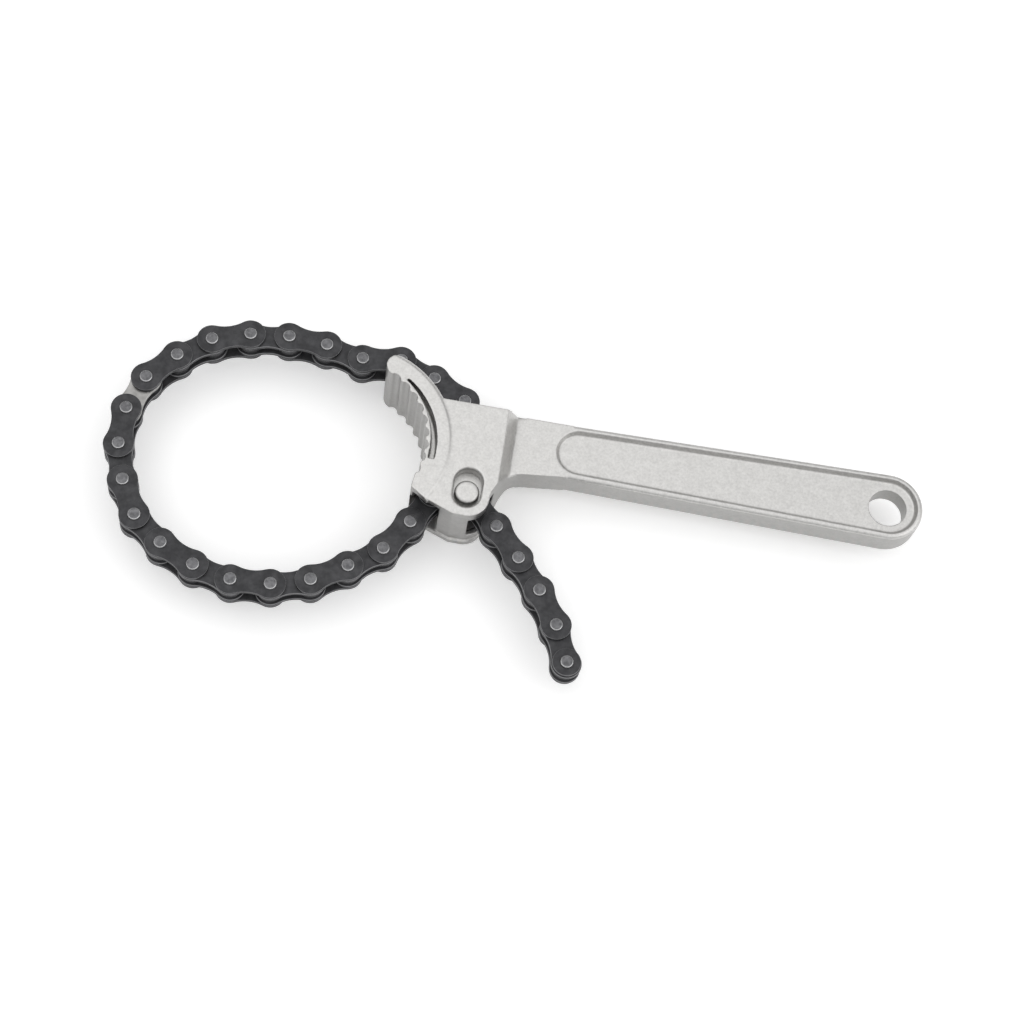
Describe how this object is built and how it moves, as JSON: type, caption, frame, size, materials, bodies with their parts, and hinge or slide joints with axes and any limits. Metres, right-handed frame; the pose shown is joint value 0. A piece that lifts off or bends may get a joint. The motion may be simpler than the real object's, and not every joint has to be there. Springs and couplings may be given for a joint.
{
  "type": "chain oil filter wrench",
  "caption": "Chain oil filter wrench: cast toothed jaw and flat handle, roller chain looped round the filter and held by a sliding lock.",
  "frame": {"origin": "axis of the hang hole at mid-thickness of the handle", "axes": "+X along the handle from the jaw towards the hang hole, +Z along the hang hole and the chain's pins, square to the plane of the loop"},
  "size_m": [0.2667, 0.1059, 0.026],
  "materials": {
    "cast_body": "satin plating over a fine blasted casting",
    "lock_steel": "satin plating",
    "chain_link": "black oxide, satin",
    "chain_pin": "worn black oxide on turned pin heads",
    "bright_link": "bare bright steel"
  },
  "bodies": {
    "casting": {"cast_jaw_and_handle": "cast_body", "anchor_pin": "chain_pin"},
    "lock": {"locking_slider": "lock_steel", "locking_pins": "lock_steel"},
    "link_01": {"inner_link_01": "chain_link"},
    "link_02": {"outer_link_plates_02": "chain_link", "outer_link_pins_02": "chain_pin"},
    "link_03": {"inner_link_03": "chain_link"},
    "link_04": {"outer_link_plates_04": "chain_link", "outer_link_pins_04": "chain_pin"},
    "link_05": {"inner_link_05": "chain_link"},
    "link_06": {"outer_link_plates_06": "chain_link", "outer_link_pins_06": "chain_pin"},
    "link_07": {"inner_link_07": "chain_link"},
    "link_08": {"outer_link_plates_08": "chain_link", "outer_link_pins_08": "chain_pin"},
    "link_09": {"inner_link_09": "chain_link"},
    "link_10": {"outer_link_plates_10": "chain_link", "outer_link_pins_10": "chain_pin"},
    "link_11": {"inner_link_11": "bright_link"},
    "link_12": {"outer_link_plates_12": "chain_link", "outer_link_pins_12": "chain_pin"},
    "link_13": {"inner_link_13": "chain_link"},
    "link_14": {"outer_link_plates_14": "chain_link", "outer_link_pins_14": "chain_pin"},
    "link_15": {"inner_link_15": "chain_link"},
    "link_16": {"outer_link_plates_16": "chain_link", "outer_link_pins_16": "chain_pin"},
    "link_17": {"inner_link_17": "chain_link"},
    "link_18": {"outer_link_plates_18": "chain_link", "outer_link_pins_18": "chain_pin"},
    "link_19": {"inner_link_19": "chain_link"},
    "link_20": {"outer_link_plates_20": "chain_link", "outer_link_pins_20": "chain_pin"},
    "link_21": {"inner_link_21": "chain_link"},
    "link_22": {"outer_link_plates_22": "chain_link", "outer_link_pins_22": "chain_pin"},
    "link_23": {"inner_link_23": "chain_link"},
    "link_24": {"outer_link_plates_24": "chain_link", "outer_link_pins_24": "chain_pin"},
    "link_25": {"inner_link_25": "chain_link"},
    "link_26": {"outer_link_plates_26": "chain_link", "outer_link_pins_26": "chain_pin"},
    "link_27": {"inner_link_27": "chain_link"},
    "link_28": {"outer_link_plates_28": "chain_link", "outer_link_pins_28": "chain_pin"},
    "link_29": {"inner_link_29": "chain_link", "chain_end_pin": "chain_pin"}
  },
  "joints": [
    {"name": "lock_slide", "type": "slide", "parent": "casting", "child": "lock", "axis": [0, 1, 0], "range_m": [0, 0.0036]},
    {"name": "chain_pivot_01", "type": "hinge", "parent": "casting", "child": "link_01", "pos_m": [-0.1365, 0.0008, 0], "axis": [0, 0, 1], "range_deg": [-0.28, 0.28]},
    {"name": "chain_pivot_02", "type": "hinge", "parent": "link_01", "child": "link_02", "pos_m": [-0.14272, 0.01187, 0], "axis": [0, 0, 1], "range_deg": [-1.08, 1.08]},
    {"name": "chain_pivot_03", "type": "hinge", "parent": "link_02", "child": "link_03", "pos_m": [-0.15378, 0.01812, 0], "axis": [0, 0, 1], "range_deg": [-2.1, 2.1]},
    {"name": "chain_pivot_04", "type": "hinge", "parent": "link_03", "child": "link_04", "pos_m": [-0.1656, 0.02275, 0], "axis": [0, 0, 1], "range_deg": [-3.7, 3.7]},
    {"name": "chain_pivot_05", "type": "hinge", "parent": "link_04", "child": "link_05", "pos_m": [-0.17818, 0.021, 0], "axis": [0, 0, 1], "range_deg": [-7, 7]},
    {"name": "chain_pivot_06", "type": "hinge", "parent": "link_05", "child": "link_06", "pos_m": [-0.19059, 0.02371, 0], "axis": [0, 0, 1], "range_deg": [-0.56, 0.56]},
    {"name": "chain_pivot_07", "type": "hinge", "parent": "link_06", "child": "link_07", "pos_m": [-0.20327, 0.02442, 0], "axis": [0, 0, 1], "range_deg": [-4.4, 4.4]},
    {"name": "chain_pivot_08", "type": "hinge", "parent": "link_07", "child": "link_08", "pos_m": [-0.21588, 0.02289, 0], "axis": [0, 0, 1], "range_deg": [-5.39, 5.39]},
    {"name": "chain_pivot_09", "type": "hinge", "parent": "link_08", "child": "link_09", "pos_m": [-0.22788, 0.01874, 0], "axis": [0, 0, 1], "range_deg": [-3.43, 3.43]},
    {"name": "chain_pivot_10", "type": "hinge", "parent": "link_09", "child": "link_10", "pos_m": [-0.23785, 0.01088, 0], "axis": [0, 0, 1], "range_deg": [-1.13, 1.13]},
    {"name": "chain_pivot_11", "type": "hinge", "parent": "link_10", "child": "link_11", "pos_m": [-0.24612, 0.00124, 0], "axis": [0, 0, 1], "range_deg": [-1.12, 1.12]},
    {"name": "chain_pivot_12", "type": "hinge", "parent": "link_11", "child": "link_12", "pos_m": [-0.25013, -0.01081, 0], "axis": [0, 0, 1], "range_deg": [-2.23, 2.23]},
    {"name": "chain_pivot_13", "type": "hinge", "parent": "link_12", "child": "link_13", "pos_m": [-0.24998, -0.02351, 0], "axis": [0, 0, 1], "range_deg": [-2.8, 2.8]},
    {"name": "chain_pivot_14", "type": "hinge", "parent": "link_13", "child": "link_14", "pos_m": [-0.24613, -0.03561, 0], "axis": [0, 0, 1], "range_deg": [-2.91, 2.91]},
    {"name": "chain_pivot_15", "type": "hinge", "parent": "link_14", "child": "link_15", "pos_m": [-0.24003, -0.04676, 0], "axis": [0, 0, 1], "range_deg": [-2.7, 2.7]},
    {"name": "chain_pivot_16", "type": "hinge", "parent": "link_15", "child": "link_16", "pos_m": [-0.23009, -0.05465, 0], "axis": [0, 0, 1], "range_deg": [-1.22, 1.22]},
    {"name": "chain_pivot_17", "type": "hinge", "parent": "link_16", "child": "link_17", "pos_m": [-0.21863, -0.06013, 0], "axis": [0, 0, 1], "range_deg": [-1.12, 1.12]},
    {"name": "chain_pivot_18", "type": "hinge", "parent": "link_17", "child": "link_18", "pos_m": [-0.20624, -0.06292, 0], "axis": [0, 0, 1], "range_deg": [-3.93, 3.93]},
    {"name": "chain_pivot_19", "type": "hinge", "parent": "link_18", "child": "link_19", "pos_m": [-0.19356, -0.06223, 0], "axis": [0, 0, 1], "range_deg": [-6.02, 6.02]},
    {"name": "chain_pivot_20", "type": "hinge", "parent": "link_19", "child": "link_20", "pos_m": [-0.18141, -0.05852, 0], "axis": [0, 0, 1], "range_deg": [-4.24, 4.24]},
    {"name": "chain_pivot_21", "type": "hinge", "parent": "link_20", "child": "link_21", "pos_m": [-0.17062, -0.05183, 0], "axis": [0, 0, 1], "range_deg": [-3.07, 3.07]},
    {"name": "chain_pivot_22", "type": "hinge", "parent": "link_21", "child": "link_22", "pos_m": [-0.16057, -0.04406, 0], "axis": [0, 0, 1], "range_deg": [-6.85, 6.85]},
    {"name": "chain_pivot_23", "type": "hinge", "parent": "link_22", "child": "link_23", "pos_m": [-0.15357, -0.03346, 0], "axis": [0, 0, 1], "range_deg": [-0.17, 0.17]},
    {"name": "chain_pivot_24", "type": "hinge", "parent": "link_23", "child": "link_24", "pos_m": [-0.1477, -0.0222, 0], "axis": [0, 0, 1], "range_deg": [-1.23, 1.23]},
    {"name": "chain_pivot_25", "type": "hinge", "parent": "link_24", "child": "link_25", "pos_m": [-0.13505, -0.02109, 0], "axis": [0, 0, 1], "range_deg": [-3, 3]},
    {"name": "chain_pivot_26", "type": "hinge", "parent": "link_25", "child": "link_26", "pos_m": [-0.12607, -0.03007, 0], "axis": [0, 0, 1], "range_deg": [-25, 25]},
    {"name": "chain_pivot_27", "type": "hinge", "parent": "link_26", "child": "link_27", "pos_m": [-0.11757, -0.03951, 0], "axis": [0, 0, 1], "range_deg": [-25, 25]},
    {"name": "chain_pivot_28", "type": "hinge", "parent": "link_27", "child": "link_28", "pos_m": [-0.10941, -0.04924, 0], "axis": [0, 0, 1], "range_deg": [-25, 25]},
    {"name": "chain_pivot_29", "type": "hinge", "parent": "link_28", "child": "link_29", "pos_m": [-0.10249, -0.05989, 0], "axis": [0, 0, 1], "range_deg": [-25, 25]}
  ],
  "couplings": [
    {"joint": "chain_pivot_01", "follows": "chain_pivot_05", "ratio": -0.038},
    {"joint": "chain_pivot_02", "follows": "chain_pivot_05", "ratio": -0.1525},
    {"joint": "chain_pivot_03", "follows": "chain_pivot_05", "ratio": -0.2974},
    {"joint": "chain_pivot_04", "follows": "chain_pivot_05", "ratio": 0.5267},
    {"joint": "chain_pivot_06", "follows": "chain_pivot_05", "ratio": 0.0777},
    {"joint": "chain_pivot_07", "follows": "chain_pivot_05", "ratio": -0.6267},
    {"joint": "chain_pivot_08", "follows": "chain_pivot_05", "ratio": -0.7674},
    {"joint": "chain_pivot_09", "follows": "chain_pivot_05", "ratio": -0.4878},
    {"joint": "chain_pivot_10", "follows": "chain_pivot_05", "ratio": -0.1596},
    {"joint": "chain_pivot_11", "follows": "chain_pivot_05", "ratio": 0.1578},
    {"joint": "chain_pivot_12", "follows": "chain_pivot_05", "ratio": 0.3158},
    {"joint": "chain_pivot_13", "follows": "chain_pivot_05", "ratio": 0.3981},
    {"joint": "chain_pivot_14", "follows": "chain_pivot_05", "ratio": 0.4137},
    {"joint": "chain_pivot_15", "follows": "chain_pivot_05", "ratio": 0.3835},
    {"joint": "chain_pivot_16", "follows": "chain_pivot_05", "ratio": 0.172},
    {"joint": "chain_pivot_17", "follows": "chain_pivot_05", "ratio": -0.1577},
    {"joint": "chain_pivot_18", "follows": "chain_pivot_05", "ratio": -0.5588},
    {"joint": "chain_pivot_19", "follows": "chain_pivot_05", "ratio": -0.8572},
    {"joint": "chain_pivot_20", "follows": "chain_pivot_05", "ratio": -0.6041},
    {"joint": "chain_pivot_21", "follows": "chain_pivot_05", "ratio": 0.4358},
    {"joint": "chain_pivot_22", "follows": "chain_pivot_05", "ratio": 0.9769},
    {"joint": "chain_pivot_23", "follows": "chain_pivot_05", "ratio": 0.0226},
    {"joint": "chain_pivot_24", "follows": "chain_pivot_05", "ratio": -0.1736}
  ]
}
